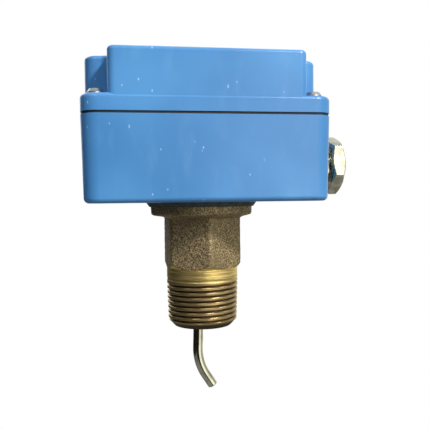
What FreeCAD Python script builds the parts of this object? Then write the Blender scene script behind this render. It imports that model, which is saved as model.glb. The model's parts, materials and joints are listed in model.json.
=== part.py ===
import FreeCAD, Part
import math
import os
import re

import Sketcher
from FreeCAD import Placement, Rotation, Vector

# A paddle flow switch: a screwed pipe body carries a sprung lever through a metal bellows seal,
# and a two-part cast case above it holds the rocker, the snap switch and the range spring.
# The frame's origin lies on the pipe thread's axis in the plane of the hexagon's underside.
# +Z is up, along the thread's axis, and +X is the direction of flow and of the cable entry.

doc = FreeCAD.newDocument("flow_switch")
sheet = doc.addObject("Spreadsheet::Sheet", "sizes")

SIZES = {
    # screwed body, from the top down
    "flange_radius": 24.0,
    "flange_thickness": 4.2,
    "flange_edge": 1.6,
    "flange_flare": 1.8,
    "hex_height": 24.6,
    "hex_flats": 33.5,
    "hex_turn": 34.5,
    "hex_chamfer_rise": 2.0,
    "neck_length": 5.8,
    "neck_radius": 17.0,
    "thread_length": 21.7,
    "thread_end_radius": 16.3,
    "thread_taper": 0.03125,
    "thread_pitch": 2.309,
    "thread_depth": 1.4,
    "thread_end_chamfer": 2.8,
    "bore_radius": 11.2,
    "bore_depth": 48.0,
    "throat_radius": 8.0,
    "fixing_circle": 20.0,
    "fixing_depth": 3.6,
    # flange gasket
    "flange_gasket_thickness": 2.2,
    "flange_gasket_radius": 26.4,
    "flange_gasket_lean": 1.6,
    # case
    "case_length": 108.0,
    "case_depth": 68.0,
    "case_corner": 7.5,
    "case_wall": 3.0,
    "case_draft": 1.4,
    "floor_thickness": 3.0,
    "base_height": 37.1,
    "base_edge": 2.2,
    "seam_gasket_thickness": 1.1,
    "seam_gasket_inset": 0.4,
    "cover_height": 26.8,
    "ledge_height": 7.3,
    "ledge_edge": 1.8,
    "notch_width": 11.5,
    "band_step": 1.0,
    "notch_depth": 19.5,
    "notch_corner": 4.0,
    "nose_corner": 3.2,
    "band_corner": 6.0,
    "cover_edge": 1.7,
    "hollow_corner": 1.5,
    "boss_radius": 4.6,
    "cover_screw_inset": 6.4,
    "cover_screw_setback": 9.0,
    "cover_screw_length": 18.0,
    "boss_hole_depth": 13.0,
    # cable entry
    "entry_height": 17.0,
    "entry_pad_radius": 12.6,
    "entry_pad_rise": 0.8,
    "entry_hole_radius": 8.1,
    "entry_thread_radius": 8.0,
    "entry_washer_radius": 11.0,
    "entry_washer_thickness": 1.4,
    "gland_flats": 18.0,
    "gland_hex_length": 4.2,
    "gland_stub_length": 10.0,
    "gland_nose_length": 6.6,
    "gland_nut_flats": 22.0,
    "gland_nut_thickness": 3.6,
    "cap_flats": 25.0,
    "cap_turn": -8.0,
    "cap_hex_length": 5.9,
    "cap_lip_length": 1.6,
    "cap_lip_radius": 9.8,
    "cap_gap": 0.5,
    "cap_web": 1.6,
    "seal_radius": 6.4,
    "seal_length": 12.0,
    "cable_radius": 4.0,
    "cap_mouth_radius": 5.2,
    # chassis
    "sheet_thickness": 1.5,
    "chassis_left": 18.0,
    "chassis_right": 38.0,
    "chassis_front": 17.0,
    "chassis_foot_back": 21.5,
    "chassis_shelf_rise": 13.0,
    "chassis_face_back": 9.0,
    "chassis_height": 46.0,
    "chassis_tongue": 8.0,
    "chassis_tongue_left": 24.5,
    "ear_gap": 8.0,
    "ear_half_width": 5.0,
    "ear_above_pin": 4.5,
    "stop_place": 20.0,
    "stop_half_width": 4.0,
    # rocker and lever
    "pivot_height": 7.0,
    "pin_radius": 1.5,
    "pin_play": 0.05,
    "pin_head_radius": 2.6,
    "pin_head_thickness": 1.0,
    "pin_tail": 1.6,
    "barrel_radius": 4.4,
    "barrel_half_length": 7.6,
    "rocker_reach": 35.5,
    "rocker_half_width": 5.0,
    "rocker_rise": 1.5,
    "rocker_thickness": 3.0,
    "stem_radius": 4.2,
    "stem_length": 12.5,
    "socket_depth": 8.0,
    "rest_tilt": 1.77,
    "lever_radius": 2.4,
    "lever_straight": 80.2,
    "lever_bend_radius": 23.0,
    "lever_bend_angle": 34.6,
    "lever_tip_length": 6.4,
    "lever_tip_edge": 0.4,
    "rest_gap": 0.3,
    # bellows
    "bellows_radius": 7.4,
    "bellows_neck_radius": 4.9,
    "bellows_skin": 0.35,
    "bellows_folds": 6,
    "seal_ring_radius": 11.1,
    "seal_ring_bore": 5.0,
    "seal_ring_thickness": 3.0,
    "bellows_length": 17.5,
    "end_cap_thickness": 2.4,
    # snap switch
    "switch_left": 16.0,
    "switch_right": 24.0,
    "switch_front": 8.0,
    "switch_rise": 15.5,
    "switch_height": 18.5,
    "barrier_height": 6.0,
    "barrier_thickness": 1.6,
    "switch_edge": 0.8,
    "plunger_place": 12.0,
    "plunger_radius": 1.6,
    "plunger_hidden": 5.0,
    "switch_hole_spacing": 25.4,
    "switch_hole_rise": 7.5,
    "terminal_length": 9.0,
    "terminal_thickness": 1.0,
    "terminal_screw_length": 5.0,
    # range spring
    "spring_place": 30.5,
    "spring_radius": 4.0,
    "spring_wire": 0.45,
    "spring_turns": 6,
    "spring_height": 18.0,
    "spring_seat_radius": 3.0,
    "spring_seat_rise": 1.4,
    "range_nut_thickness": 4.5,
    "range_nut_width": 10.0,
    "range_screw_radius": 2.0,
    "range_screw_length": 28.0,
    "range_head_radius": 4.2,
    "range_head_height": 4.0,
    "clip_thickness": 0.8,
    "clip_radius": 3.7,
    # fasteners
    "large_screw_radius": 2.0,
    "large_head_radius": 3.7,
    "large_head_height": 2.6,
    "small_screw_radius": 1.5,
    "small_head_radius": 2.8,
    "small_head_height": 1.9,
    "screw_clearance": 0.15,
    "thread_play": 0.05,
    # earth terminal
    "earth_inset": 20.0,
    "earth_front": 12.0,
    "earth_boss_radius": 4.6,
    "earth_boss_height": 5.0,
    "earth_washer_thickness": 1.2,
    "earth_washer_radius": 4.4,
}

for row, (alias, amount) in enumerate(SIZES.items(), 1):
    sheet.set(f"A{row}", alias.replace("_", " "))
    sheet.set(f"B{row}", str(amount))
    sheet.setAlias(f"B{row}", alias)
doc.recompute()

# Levels and places that follow from the sizes, as formulas over the sheet's names.
FLANGE_UNDER = "hex_height"
FLANGE_TOP = f"({FLANGE_UNDER} + flange_thickness)"
CASE_UNDER = f"({FLANGE_TOP} + flange_gasket_thickness)"
FLOOR = f"({CASE_UNDER} + floor_thickness)"
RIM = f"({CASE_UNDER} + base_height)"
COVER_UNDER = f"({RIM} + seam_gasket_thickness)"
LEDGE = f"({COVER_UNDER} + ledge_height)"
CASE_TOP = f"({COVER_UNDER} + cover_height)"
THREAD_END = "(0 - neck_length - thread_length)"
BORE_TOP = f"({THREAD_END} + bore_depth)"
PIVOT = f"({FLOOR} + pivot_height)"
ENTRY = f"({CASE_UNDER} + entry_height)"
ENTRY_FACE = "(case_length / 2 + entry_pad_rise)"
GLAND_FOOT = f"({ENTRY_FACE} + entry_washer_thickness)"
GLAND_SHOULDER = f"({GLAND_FOOT} + gland_hex_length)"
CHASSIS_TOP = f"({FLOOR} + chassis_height)"
SWITCH_UNDER = f"({FLOOR} + switch_rise)"
SWITCH_TOP = f"({SWITCH_UNDER} + switch_height)"
ROCKER_TOP = "(rocker_rise + rocker_thickness)"
COVER_SCREW_X = "(case_length / 2 - cover_screw_inset)"
COVER_SCREW_Y = "(case_depth / 2 - cover_screw_setback)"
NOSE_WIDTH = "(case_length - 2 * notch_width)"
BAND_WIDTH = "(case_length - 2 * band_step)"
EARTH_PLACE = "(earth_inset - case_length / 2)"
TILT = "(rest_tilt * 1 deg)"
SPRING_FOOT = f"({PIVOT} + {ROCKER_TOP} * cos{TILT} - spring_place * sin{TILT} + rest_gap)"
NUT_UNDER = f"({SPRING_FOOT} + spring_height + 2 * spring_wire)"


def formula(text):
    """Point every sheet name in a formula at the sheet."""
    return re.sub(r"\b([a-z]+(?:_[a-z]+)+)\b", r"sizes.\1", text)


def number(text):
    """Value of a formula, for the first drawing of a sketch."""
    result = sheet.evalExpression(formula(text))
    return float(getattr(result, "Value", result))


def bind(thing, **formulas):
    """Tie properties to formulas. Two underscores in a name stand for a dot."""
    for name, text in formulas.items():
        thing.setExpression(name.replace("__", "."), formula(text))


def new_body(label):
    body = doc.addObject("PartDesign::Body", label)
    body.Label = label
    return body


def place(thing, x="0", y="0", z="0", axis=None, angle=None):
    """Put a piece at a point, turned about an axis by an angle in degrees."""
    if axis is not None:
        thing.Placement = Placement(Vector(), Rotation(Vector(*axis), number(angle)))
    bind(thing, Placement__Base__x=x, Placement__Base__y=y, Placement__Base__z=z)


def sketch(body, plane="XY_Plane", level="0"):
    """Empty sketch on one of the body's own planes, moved along the plane's normal."""
    drawing = body.newObject("Sketcher::SketchObject", "Outline")
    base = next(item for item in body.Origin.OriginFeatures if item.Role == plane)
    drawing.AttachmentSupport = (base, [""])
    drawing.MapMode = "FlatFace"
    bind(drawing, AttachmentOffset__Base__z=level)
    return drawing


def pin_down(drawing, line, end, across=None, along=None):
    """Tie one end of a sketch line to distances from the sketch's origin."""
    for kind, text, axis in (("DistanceX", across, -2), ("DistanceY", along, -1)):
        if text is None:
            continue
        amount = number(text)
        if abs(amount) < 1e-9:
            drawing.addConstraint(Sketcher.Constraint("PointOnObject", line, end, axis))
            continue
        ends = (-1, 1, line, end) if amount > 0 else (line, end, -1, 1)
        index = drawing.addConstraint(Sketcher.Constraint(kind, *ends, abs(amount)))
        signed = text if amount > 0 else f"-({text})"
        drawing.setExpression(f"Constraints[{index}]", formula(signed))


def outline(drawing, corners):
    """Closed outline of straight lines through corners, each a pair of formulas."""
    points = [Vector(number(x), number(y), 0) for x, y in corners]
    first = drawing.GeometryCount
    count = len(points)
    for i in range(count):
        drawing.addGeometry(Part.LineSegment(points[i], points[(i + 1) % count]))
    for i in range(count):
        following = first + (i + 1) % count
        drawing.addConstraint(Sketcher.Constraint("Coincident", first + i, 2, following, 1))
    for i, (x, y) in enumerate(corners):
        pin_down(drawing, first + i, 1, x, y)


def rounded_outline(drawing, corners, radii):
    """Closed outline of level and upright lines with a tangent arc at every corner."""
    points = [Vector(number(x), number(y), 0) for x, y in corners]
    count = len(points)
    first = drawing.GeometryCount
    heading = [(points[(i + 1) % count] - points[i]).normalize() for i in range(count)]
    size = [number(text) for text in radii]
    starts = [points[i] + heading[i] * size[i] for i in range(count)]
    ends = [points[i] - heading[i - 1] * size[i] for i in range(count)]
    for i in range(count):
        drawing.addGeometry(Part.LineSegment(starts[i], ends[(i + 1) % count]))
    for i in range(count):
        centre = points[i] + (heading[i] - heading[i - 1]) * size[i]
        middle = centre + (points[i] - centre).normalize() * size[i]
        drawing.addGeometry(Part.Arc(ends[i], middle, starts[i]))
        turns_left = heading[i - 1].cross(heading[i]).z > 0
        arc = first + count + i
        arriving, leaving = (1, 2) if turns_left else (2, 1)
        before = first + (i - 1) % count
        drawing.addConstraint(Sketcher.Constraint("Tangent", before, 2, arc, arriving))
        drawing.addConstraint(Sketcher.Constraint("Tangent", arc, leaving, first + i, 1))
        index = drawing.addConstraint(Sketcher.Constraint("Radius", arc, size[i]))
        drawing.setExpression(f"Constraints[{index}]", formula(radii[i]))
    for i, (x, y) in enumerate(corners):
        level = abs(heading[i].x) > 0.5
        drawing.addConstraint(Sketcher.Constraint("Horizontal" if level else "Vertical", first + i))
        pin_down(drawing, first + i, 1, None if level else x, y if level else None)


def rounded_rectangle(drawing, length, depth, radius):
    """Rectangle about the sketch's origin with four equal corners."""
    half_x, half_y = f"({length}) / 2", f"({depth}) / 2"
    corners = [(f"-{half_x}", f"-{half_y}"), (half_x, f"-{half_y}")]
    corners += [(half_x, half_y), (f"-{half_x}", half_y)]
    rounded_outline(drawing, corners, [radius] * 4)


def box_outline(drawing, left, right, low, high):
    outline(drawing, [(left, low), (right, low), (right, high), (left, high)])


def circle(drawing, radius, x="0", y="0"):
    """Circle about a point given by two formulas."""
    centre = Vector(number(x), number(y), 0)
    index = drawing.addGeometry(Part.Circle(centre, Vector(0, 0, 1), number(radius)))
    pin_down(drawing, index, 3, x, y)
    tied = drawing.addConstraint(Sketcher.Constraint("Radius", index, number(radius)))
    drawing.setExpression(f"Constraints[{tied}]", formula(radius))


def hexagon(drawing, flats, turn):
    """Hexagon about the origin by its width across flats, one corner at the turn angle."""
    reach = f"({flats}) / 2 / cos(30 deg)"
    angles = [f"(({turn}) + {60 * k}) * 1 deg" for k in range(6)]
    outline(drawing, [(f"{reach} * cos({a})", f"{reach} * sin({a})") for a in angles])


def feature(body, kind, drawing, **formulas):
    """Add a sketch-based feature and tie its sizes. Every one is checked at the end."""
    made = body.newObject(f"PartDesign::{kind}", kind)
    made.Profile = drawing
    bind(made, **formulas)
    return made


def pad(body, drawing, length, back=False):
    made = feature(body, "Pad", drawing, Length=length)
    made.Reversed = back
    return made


def pad_both_ways(body, drawing, length):
    """Pad half of the length to each side of the sketch."""
    made = feature(body, "Pad", drawing, Length=length)
    made.SideType = "Symmetric"
    return made


def pocket(body, drawing, length, forward=False):
    """Cut away from the sketch's normal, or along it where forward is set."""
    made = feature(body, "Pocket", drawing, Length=length)
    made.Reversed = forward
    return made


def turned(body, drawing, kind="Revolution"):
    """Revolve or groove a half profile about the sketch's upright axis."""
    made = body.newObject(f"PartDesign::{kind}", kind)
    made.Profile = drawing
    made.ReferenceAxis = (drawing, ["V_Axis"])
    made.Angle = 360
    return made


def turned_piece(label, corners):
    """A piece made by turning one half profile, given as (radius, height) formulas."""
    body = new_body(label)
    profile = sketch(body, "XZ_Plane")
    outline(profile, corners)
    turned(body, profile)
    return body


def edges_where(shape, wanted):
    """Names of the edges whose ends and middle satisfy a test."""
    return [f"Edge{i}" for i, edge in enumerate(shape.Edges, 1) if wanted(edge)]


def soften(body, kind, names, **formulas):
    """Fillet or chamfer named edges of the body's last feature."""
    base = body.Tip
    made = body.newObject(f"PartDesign::{kind}", kind)
    made.Base = (base, names)
    bind(made, **formulas)
    return made


def round_edges(body, wanted, radius):
    doc.recompute()
    return soften(body, "Fillet", edges_where(body.Tip.Shape, wanted), Radius=radius)


def all_at(edge, level):
    """True for an edge that lies wholly in one level plane."""
    box = edge.BoundBox
    return abs(box.ZMin - level) < 1e-4 and abs(box.ZMax - level) < 1e-4


def group(label, pieces):
    """Several equal solids as one named piece."""
    together = doc.addObject("Part::Compound", label)
    together.Label = label
    together.Links = pieces
    return together


def pan_screw(label, kind, length):
    """Cross-recessed pan-head screw, its head's seat at z = 0 and its shank pointing down."""
    radius, head, rise = f"{kind}_screw_radius", f"{kind}_head_radius", f"{kind}_head_height"
    profile = [("0", f"0 - {length}"), (f"{radius} * 0.7", f"0 - {length}")]
    profile += [(radius, f"{radius} * 0.5 - {length}"), (radius, "0"), (head, "0")]
    profile += [(head, f"{rise} * 0.45"), (f"{head} * 0.72", rise), ("0", rise)]
    body = turned_piece(label, profile)
    recess = sketch(body, level=rise)
    arm, half = f"{head} * 0.55", f"{head} * 0.11"
    quarter = [(arm, f"-{half}"), (arm, half), (half, half), (half, arm), (f"-{half}", arm)]
    quarter += [(f"-{half}", half), (f"-{arm}", half), (f"-{arm}", f"-{half}")]
    quarter += [(f"-{half}", f"-{half}"), (f"-{half}", f"-{arm}"), (half, f"-{arm}"), (half, f"-{half}")]
    outline(recess, quarter)
    pocket(body, recess, f"{rise} * 0.6")
    return body


def thread_rings():
    """Outline up the taper thread: each turn is a ring with a flat crest and a root of 55 degree flanks."""
    points = []
    for turn in range(8):
        foot = f"(thread_end_chamfer + {turn} * thread_pitch)"
        for part_of_pitch, depth in ((0, "0"), (0.12, "0"), (0.46, "thread_depth"), (0.6, "thread_depth")):
            up = f"({foot} + {part_of_pitch} * thread_pitch)"
            points.append((f"thread_end_radius + {up} * thread_taper - {depth}", f"{THREAD_END} + {up}"))
    return points


def make_body_casting():
    """Flange, hexagon, neck and ringed taper thread in one bronze casting, bored right through."""
    body = new_body("body_casting")
    flats = sketch(body)
    hexagon(flats, "hex_flats", "hex_turn")
    pad(body, flats, FLANGE_UNDER)
    corner_cut = sketch(body, "XZ_Plane")
    reach = "(hex_flats / 2 / cos(30 deg))"
    outline(corner_cut, [
        ("hex_flats / 2", "0"),
        (f"{reach} + 1", "0"),
        (f"{reach} + 1", "hex_chamfer_rise + 0.8"),
        (reach, "hex_chamfer_rise"),
    ])
    turned(body, corner_cut, "Groove")
    round_parts = sketch(body, "XZ_Plane")
    outline(round_parts, [
        ("0", THREAD_END),
        ("thread_end_radius - thread_end_chamfer", THREAD_END),
        *thread_rings(),
        ("neck_radius - 0.1", "0 - neck_length"),
        ("neck_radius", "0 - neck_length"),
        ("neck_radius - 0.4", "0"),
        ("hex_flats / 2", f"{FLANGE_UNDER} - flange_flare"),
        ("flange_radius - flange_edge", FLANGE_UNDER),
        ("flange_radius", f"{FLANGE_UNDER} + flange_edge"),
        ("flange_radius", f"{FLANGE_TOP}"),
        ("0", FLANGE_TOP),
    ])
    turned(body, round_parts)
    bores = sketch(body, "XZ_Plane")
    outline(bores, [
        ("0", THREAD_END),
        ("bore_radius", THREAD_END),
        ("bore_radius", BORE_TOP),
        ("throat_radius", BORE_TOP),
        ("throat_radius", FLANGE_TOP),
        ("0", FLANGE_TOP),
    ])
    turned(body, bores, "Groove")
    tapped = sketch(body, level=FLANGE_TOP)
    for k in range(4):
        angle = f"{45 + 90 * k} * 1 deg"
        circle(tapped, "large_screw_radius + thread_play",
               f"fixing_circle * cos({angle})", f"fixing_circle * sin({angle})")
    pocket(body, tapped, "fixing_depth")
    return body


def make_flange_gasket():
    """Soft gasket squeezed out past the flange, with the throat and four screw holes."""
    body = turned_piece("flange_gasket", [
        ("throat_radius", FLANGE_TOP),
        ("flange_gasket_radius - flange_gasket_lean", FLANGE_TOP),
        ("flange_gasket_radius", CASE_UNDER),
        ("throat_radius", CASE_UNDER),
    ])
    holes = sketch(body, level=CASE_UNDER)
    for k in range(4):
        angle = f"{45 + 90 * k} * 1 deg"
        circle(holes, "large_screw_radius + screw_clearance",
               f"fixing_circle * cos({angle})", f"fixing_circle * sin({angle})")
    pocket(body, holes, "flange_gasket_thickness + 0.1")
    return body


def corner_places():
    """The four cover screws' places as pairs of formulas."""
    return [(f"{sx} * {COVER_SCREW_X}", f"{sy} * {COVER_SCREW_Y}") for sx in (-1, 1) for sy in (-1, 1)]


def case_hollow(drawing):
    """Plan of the space inside the case's walls, at the seam."""
    rounded_rectangle(drawing, "case_length - 2 * case_wall", "case_depth - 2 * case_wall",
                      "case_corner - case_wall")


def make_enclosure_base():
    """Cast tray with corner bosses, a flat pad for the cable entry and a throat in its floor."""
    body = new_body("enclosure_base")
    outside = sketch(body, level=RIM)
    rounded_rectangle(outside, "case_length", "case_depth", "case_corner")
    block = pad(body, outside, "base_height", back=True)
    bind(block, TaperAngle="-case_draft")
    under = number(CASE_UNDER)
    round_edges(body, lambda edge: all_at(edge, under), "base_edge")
    hollow = sketch(body, level=RIM)
    case_hollow(hollow)
    pocket(body, hollow, "base_height - floor_thickness")
    posts = sketch(body, level=FLOOR)
    for x, y in corner_places():
        circle(posts, "boss_radius", x, y)
    pad(body, posts, "base_height - floor_thickness")
    earth = sketch(body, level=FLOOR)
    circle(earth, "earth_boss_radius", EARTH_PLACE, "-earth_front")
    pad(body, earth, "earth_boss_height")
    entry_pad = sketch(body, "YZ_Plane", "case_length / 2 - case_wall")
    circle(entry_pad, "entry_pad_radius", "0", ENTRY)
    pad(body, entry_pad, "case_wall + entry_pad_rise")
    entry_hole = sketch(body, "YZ_Plane", ENTRY_FACE)
    circle(entry_hole, "entry_hole_radius", "0", ENTRY)
    pocket(body, entry_hole, "case_wall + entry_pad_rise + 1")
    tapped = sketch(body, level=RIM)
    for x, y in corner_places():
        circle(tapped, "large_screw_radius + thread_play", x, y)
    pocket(body, tapped, "boss_hole_depth")
    earth_hole = sketch(body, level=f"{FLOOR} + earth_boss_height")
    circle(earth_hole, "large_screw_radius + thread_play", EARTH_PLACE, "-earth_front")
    pocket(body, earth_hole, "earth_boss_height + floor_thickness * 0.4")
    floor_holes = sketch(body, level=FLOOR)
    circle(floor_holes, "throat_radius + 0.5")
    for k in range(4):
        angle = f"{45 + 90 * k} * 1 deg"
        circle(floor_holes, "large_screw_radius + screw_clearance",
               f"fixing_circle * cos({angle})", f"fixing_circle * sin({angle})")
    pocket(body, floor_holes, "floor_thickness + 1")
    return body


def cross_corners(nose, band, depth, notch):
    """Corners of a cross-shaped plan: a nose the full depth and a wider band between notches."""
    nose_x, band_x = f"({nose}) / 2", f"({band}) / 2"
    end_y, band_y = f"({depth}) / 2", f"(({depth}) / 2 - ({notch}))"
    quarter = [(nose_x, f"-{end_y}"), (nose_x, f"-{band_y}"), (band_x, f"-{band_y}")]
    right = quarter + [(x, y.replace("-(", "(", 1)) for x, y in reversed(quarter)]
    left = [(f"-{x}", y) for x, y in reversed(right)]
    return right + left


def make_enclosure_cover():
    """Deep cast cover, cross-shaped in plan above a ledge that seats the four screws."""
    body = new_body("enclosure_cover")
    skirt = sketch(body, level=COVER_UNDER)
    rounded_rectangle(skirt, "case_length", "case_depth", "case_corner")
    pad(body, skirt, "ledge_height")
    ledge = number(LEDGE)
    round_edges(body, lambda edge: all_at(edge, ledge), "ledge_edge")
    crown = sketch(body, level=f"{LEDGE} - ledge_edge")
    outer = cross_corners(NOSE_WIDTH, BAND_WIDTH, "case_depth - 0.4", "notch_depth")
    turns = ["nose_corner", "notch_corner", "band_corner"]
    radii = turns + turns[::-1] + turns + turns[::-1]
    rounded_outline(crown, outer, radii)
    pad(body, crown, "cover_height - ledge_height + ledge_edge")
    top = number(CASE_TOP)
    round_edges(body, lambda edge: all_at(edge, top), "cover_edge")
    low_hollow = sketch(body, level=COVER_UNDER)
    case_hollow(low_hollow)
    pocket(body, low_hollow, "ledge_height - case_wall", forward=True)
    high_hollow = sketch(body, level=COVER_UNDER)
    inner = cross_corners(f"{NOSE_WIDTH} - 2 * case_wall", f"{BAND_WIDTH} - 2 * case_wall",
                          "case_depth - 0.4 - 2 * case_wall", "notch_depth")
    rounded_outline(high_hollow, inner, ["hollow_corner"] * 12)
    pocket(body, high_hollow, "cover_height - case_wall", forward=True)
    posts = sketch(body, level=COVER_UNDER)
    for x, y in corner_places():
        circle(posts, "boss_radius", x, y)
    pad(body, posts, "ledge_height - case_wall / 2")
    holes = sketch(body, level=LEDGE)
    for x, y in corner_places():
        circle(holes, "large_screw_radius + screw_clearance", x, y)
    pocket(body, holes, "ledge_height + 1")
    return body


def make_cover_gasket():
    """Flat rubber frame in the seam, just inside the cases' outer faces."""
    body = new_body("cover_gasket")
    frame = sketch(body, level=RIM)
    inset = "seam_gasket_inset"
    rounded_rectangle(frame, f"case_length - 2 * {inset}", f"case_depth - 2 * {inset}",
                      f"case_corner - {inset}")
    case_hollow(frame)
    pad(body, frame, "seam_gasket_thickness")
    return body


def make_screws():
    """Fixing screws, each kind a group of equal pieces."""
    cover = []
    for index, (x, y) in enumerate(corner_places(), 1):
        screw = pan_screw(f"cover_screw_{index}", "large", "cover_screw_length")
        place(screw, x, y, LEDGE)
        cover.append(screw)
    fixing = []
    for k in range(4):
        angle = f"{45 + 90 * k} * 1 deg"
        depth = "sheet_thickness + floor_thickness + flange_gasket_thickness + fixing_depth - 0.4"
        screw = pan_screw(f"body_screw_{k + 1}", "large", f"({depth})")
        place(screw, f"fixing_circle * cos({angle})", f"fixing_circle * sin({angle})",
              f"{FLOOR} + sheet_thickness")
        fixing.append(screw)
    earth = pan_screw("earth_screw", "large", "(earth_boss_height + earth_washer_thickness)")
    place(earth, EARTH_PLACE, "-earth_front", f"{FLOOR} + earth_boss_height + earth_washer_thickness")
    return [group("cover_screws", cover), group("body_screws", fixing), earth]


def make_earth_washer():
    """Cupped washer that traps the earth wire under its screw."""
    foot = f"{FLOOR} + earth_boss_height"
    body = turned_piece("earth_washer", [
        ("large_screw_radius + screw_clearance", "0"),
        ("earth_washer_radius", "0"),
        ("earth_washer_radius", "earth_washer_thickness * 1.6"),
        ("earth_washer_radius - 0.5", "earth_washer_thickness * 1.6"),
        ("earth_washer_radius - 0.5", "earth_washer_thickness"),
        ("large_screw_radius + screw_clearance", "earth_washer_thickness"),
    ])
    place(body, EARTH_PLACE, "-earth_front", foot)
    return body


def make_chassis():
    """One folded steel sheet: foot, step, switch face and tongue, with pivot ears and a stop."""
    body = new_body("chassis")
    thick = "sheet_thickness"
    profile = sketch(body, "YZ_Plane", "-chassis_left")
    shelf = f"({FLOOR} + chassis_shelf_rise)"
    outline(profile, [
        ("-chassis_front", FLOOR),
        ("chassis_foot_back", FLOOR),
        ("chassis_foot_back", f"{shelf} + {thick}"),
        (f"chassis_face_back + {thick}", f"{shelf} + {thick}"),
        (f"chassis_face_back + {thick}", CHASSIS_TOP),
        ("-chassis_tongue", CHASSIS_TOP),
        ("-chassis_tongue", f"{CHASSIS_TOP} - {thick}"),
        ("chassis_face_back", f"{CHASSIS_TOP} - {thick}"),
        ("chassis_face_back", shelf),
        (f"chassis_foot_back - {thick}", shelf),
        (f"chassis_foot_back - {thick}", f"{FLOOR} + {thick}"),
        ("-chassis_front", f"{FLOOR} + {thick}"),
    ])
    pad(body, profile, "chassis_left + chassis_right")
    tongue_cut = sketch(body, level=CHASSIS_TOP)
    box_outline(tongue_cut, "-chassis_left - 1", "chassis_tongue_left",
                "-chassis_tongue - 1", "chassis_face_back")
    pocket(body, tongue_cut, f"{thick} * 2")
    ears = sketch(body, "XZ_Plane", "-ear_gap")
    rounded_ear(ears)
    pad(body, ears, f"{thick}", back=True)
    front_ear = sketch(body, "XZ_Plane", "ear_gap")
    rounded_ear(front_ear)
    pad(body, front_ear, f"{thick}")
    stop = sketch(body, level=FLOOR)
    box_outline(stop, "stop_place", f"stop_place + {thick}", "-stop_half_width", "stop_half_width")
    pad(body, stop, f"pivot_height + rocker_rise - (stop_place + {thick}) * sin{TILT} - rest_gap")
    pin_hole = sketch(body, "XZ_Plane", f"ear_gap + {thick}")
    circle(pin_hole, "pin_radius + 0.02", "0", PIVOT)
    pocket(body, pin_hole, f"2 * ear_gap + 2 * {thick}")
    floor_holes = sketch(body, level=f"{FLOOR} + {thick}")
    circle(floor_holes, "throat_radius - 0.6")
    for k in range(4):
        angle = f"{45 + 90 * k} * 1 deg"
        circle(floor_holes, "large_screw_radius + screw_clearance",
               f"fixing_circle * cos({angle})", f"fixing_circle * sin({angle})")
    pocket(body, floor_holes, f"{thick}")
    range_hole = sketch(body, level=CHASSIS_TOP)
    circle(range_hole, "range_screw_radius + pin_play", "spring_place", "0")
    pocket(body, range_hole, f"{thick}")
    switch_holes = sketch(body, "XZ_Plane", "-chassis_face_back")
    for x, z in switch_hole_places():
        circle(switch_holes, "small_screw_radius + thread_play", x, z)
    pocket(body, switch_holes, f"{thick}", forward=False)
    return body


def rounded_ear(drawing):
    """Upright ear with a rounded head about the pivot pin."""
    half, head = "ear_half_width", f"({PIVOT} + ear_above_pin)"
    corners = [(f"-{half}", FLOOR), (half, FLOOR), (half, head), (f"-{half}", head)]
    rounded_outline(drawing, corners, ["0.2", "0.2", "ear_half_width * 0.8", "ear_half_width * 0.8"])


def switch_hole_places():
    """The two switch screws' places as pairs of formulas, across and up."""
    middle = "(switch_right - switch_left) / 2"
    height = f"{SWITCH_UNDER} + switch_hole_rise"
    return [(f"{middle} - switch_hole_spacing / 2", height), (f"{middle} + switch_hole_spacing / 2", height)]


def make_pivot_pin():
    """Headed pin through both ears and the rocker's barrel, along Y."""
    span = "(ear_gap + sheet_thickness)"
    body = turned_piece("pivot_pin", [
        ("0", f"0 - {span} - pin_tail"),
        ("pin_radius", f"0 - {span} - pin_tail"),
        ("pin_radius", f"{span}"),
        ("pin_head_radius", f"{span}"),
        ("pin_head_radius", f"{span} + pin_head_thickness"),
        ("0", f"{span} + pin_head_thickness"),
    ])
    place(body, "0", "0", PIVOT, axis=(1, 0, 0), angle="90")
    return body


def tilt_about_pivot(body):
    """Lever pieces are drawn upright about the pivot, then leant to their rest."""
    place(body, "0", "0", PIVOT, axis=(0, 1, 0), angle="rest_tilt")


def make_rocker():
    """Barrel on the pin, an arm towards +X under switch and spring, and a stem for the lever."""
    body = new_body("rocker")
    barrel = sketch(body, "XZ_Plane")
    circle(barrel, "barrel_radius")
    pad_both_ways(body, barrel, "2 * barrel_half_length")
    arm = sketch(body, "XZ_Plane")
    box_outline(arm, "0", "rocker_reach", "rocker_rise", ROCKER_TOP)
    pad_both_ways(body, arm, "2 * rocker_half_width")
    stem = sketch(body)
    circle(stem, "stem_radius")
    pad(body, stem, "stem_length", back=True)
    seat = sketch(body, level=ROCKER_TOP)
    circle(seat, "spring_seat_radius", "spring_place", "0")
    pad(body, seat, "spring_seat_rise")
    pin_hole = sketch(body, "XZ_Plane", "barrel_half_length")
    circle(pin_hole, "pin_radius + pin_play")
    pocket(body, pin_hole, "2 * barrel_half_length")
    socket = sketch(body, level="0 - stem_length")
    circle(socket, "lever_radius + thread_play")
    pocket(body, socket, "socket_depth", forward=True)
    doc.recompute()
    reach, high = number("rocker_reach"), number(ROCKER_TOP)
    low = number("rocker_rise")

    def end_corner(edge):
        box = edge.BoundBox
        upright = abs(box.ZMin - low) < 1e-4 and abs(box.ZMax - high) < 1e-4
        return upright and abs(box.XMin - reach) < 1e-4 and abs(box.XMax - reach) < 1e-4

    soften(body, "Fillet", edges_where(body.Tip.Shape, end_corner), Radius="rocker_half_width * 0.8")
    tilt_about_pivot(body)
    return body


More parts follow.
